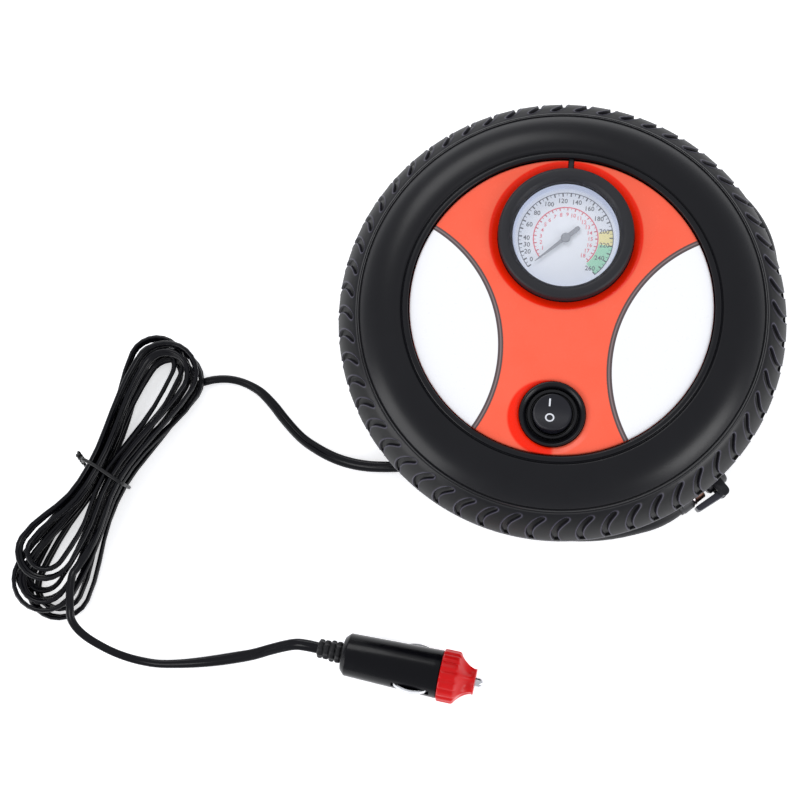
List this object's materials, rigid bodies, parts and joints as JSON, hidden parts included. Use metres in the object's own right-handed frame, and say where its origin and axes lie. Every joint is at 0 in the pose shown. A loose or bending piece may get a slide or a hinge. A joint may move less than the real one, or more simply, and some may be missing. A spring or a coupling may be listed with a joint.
{
  "type": "portable tyre inflator",
  "caption": "Wheel-shaped 12-volt tyre inflator with a pressure gauge, a rocker switch, an air hose with a lever chuck, and a power lead with a socket plug.",
  "frame": {"origin": "on the wheel's axis at the underside of the back cover, where the case lies on the floor", "axes": "+Z out of the face towards the viewer of the gauge, +Y from the switch towards the gauge, +X to the right of someone who reads the dial"},
  "size_m": [0.293, 0.2327, 0.056],
  "materials": {
    "black_case": "satin moulded, slightly bluish",
    "orange": "glossy moulded",
    "label": "white printed label with a grey-brown border",
    "lens": "clear moulded lens",
    "gauge_black": "satin",
    "dial": "white enamel with printed scales",
    "needle_grey": "matt grey",
    "brass": "turned",
    "steel": "plain",
    "bright_steel": "bright plated",
    "alloy": "die cast",
    "gear_white": "moulded",
    "dark_plastic": "satin",
    "rocker_black": "semi-gloss",
    "hose_rubber": "smooth",
    "soft_black": "soft",
    "cord_black": "smooth sheath",
    "tie_black": "satin",
    "cap_red": "glossy moulded",
    "fuse_glass": "glass tube"
  },
  "bodies": {
    "case": {"tyre_shell": "black_case", "front_panel": "orange", "side_labels": "label", "hub_ring": "black_case", "rear_cover": "black_case", "cover_screws": "steel", "gauge_lens": "lens", "gauge_cup": "gauge_black", "dial_plate": "dial", "bourdon_tube": "brass", "gauge_socket": "brass", "gauge_screws": "steel", "gauge_line": "hose_rubber", "switch_body": "gauge_black", "switch_terminals": "brass", "drive_frame": "alloy", "motor_can": "steel", "motor_end_cap": "dark_plastic", "motor_screws": "steel", "crank_bearing": "brass", "pump_cylinder": "alloy", "valve_plate": "steel", "cylinder_head": "alloy", "head_screws": "steel", "outlet_barb": "brass", "hose_clip": "steel", "frame_screws": "steel", "air_hose": "hose_rubber", "chuck_ferrule": "steel", "chuck_stem": "brass", "chuck_body": "dark_plastic", "chuck_seal": "soft_black", "chuck_pin": "steel", "cord_grommet": "soft_black", "cord_lead": "cord_black", "cord_hank": "cord_black", "cord_tie": "tie_black", "cord_tail": "cord_black", "plug_relief": "soft_black", "plug_barrel": "dark_plastic", "plug_spring": "steel"},
    "rocker": {"switch_rocker": "rocker_black"},
    "sector": {"gauge_sector": "brass"},
    "needle": {"gauge_needle": "needle_grey", "needle_arbor": "brass"},
    "crank": {"crank_gear": "gear_white", "crankshaft": "steel"},
    "rotor": {"motor_shaft": "steel", "pinion": "brass"},
    "piston": {"piston": "alloy", "piston_seal": "soft_black", "wrist_pin": "steel"},
    "rod": {"connecting_rod": "alloy", "crank_pin": "steel"},
    "lever": {"chuck_lever": "dark_plastic"},
    "contact_left": {"plug_contact_left": "bright_steel"},
    "contact_right": {"plug_contact_right": "bright_steel"},
    "cap": {"plug_cap": "cap_red"},
    "pin": {"plug_pin": "bright_steel", "plug_fuse": "fuse_glass"}
  },
  "joints": [
    {"name": "rocker_tilt", "type": "hinge", "parent": "case", "child": "rocker", "pos_m": [0, -0.0406, 0.0496], "axis": [1, 0, 0], "range_deg": [0, 24]},
    {"name": "sector_turn", "type": "hinge", "parent": "case", "child": "sector", "pos_m": [0, 0.0163, 0], "axis": [0, 0, 1], "range_deg": [0, 45], "stiffness_Nm_per_rad": 0.0005},
    {"name": "needle_turn", "type": "hinge", "parent": "case", "child": "needle", "pos_m": [0, 0.0268, 0], "axis": [0, 0, 1], "range_deg": [-270, 0]},
    {"name": "crank_spin", "type": "hinge", "parent": "case", "child": "crank", "pos_m": [-0.01838, 0, 0.022], "axis": [0, 1, 0], "continuous": true},
    {"name": "motor_spin", "type": "hinge", "parent": "case", "child": "rotor", "pos_m": [-0.039, 0, 0.018], "axis": [0, 1, 0], "continuous": true},
    {"name": "piston_slide", "type": "slide", "parent": "case", "child": "piston", "axis": [1, 0, 0], "range_m": [-0.00537, 0.00663]},
    {"name": "rod_swing", "type": "hinge", "parent": "piston", "child": "rod", "pos_m": [0.00999, -0.0108, 0.022], "axis": [0, 1, 0], "range_deg": [-23.88, 0]},
    {"name": "lever_flip", "type": "hinge", "parent": "case", "child": "lever", "pos_m": [0.0666, -0.05879, 0.0115], "axis": [0, 0, 1], "range_deg": [0, 95]},
    {"name": "contact_left_press", "type": "slide", "parent": "case", "child": "contact_left", "axis": [-0.104, -0.8598, 0.5], "range_m": [0, 0.001], "stiffness_N_per_m": 400},
    {"name": "contact_right_press", "type": "slide", "parent": "case", "child": "contact_right", "axis": [0.104, 0.8598, -0.5], "range_m": [0, 0.001], "stiffness_N_per_m": 400},
    {"name": "cap_unscrew", "type": "slide", "parent": "case", "child": "cap", "axis": [0.9928, -0.1201, 0], "range_m": [0, 0.016]},
    {"name": "pin_press", "type": "slide", "parent": "cap", "child": "pin", "axis": [-0.9928, 0.1201, 0], "range_m": [0, 0.003], "stiffness_N_per_m": 300}
  ],
  "couplings": [
    {"joint": "needle_turn", "follows": "sector_turn", "ratio": -6},
    {"joint": "motor_spin", "follows": "crank_spin", "ratio": -4}
  ]
}
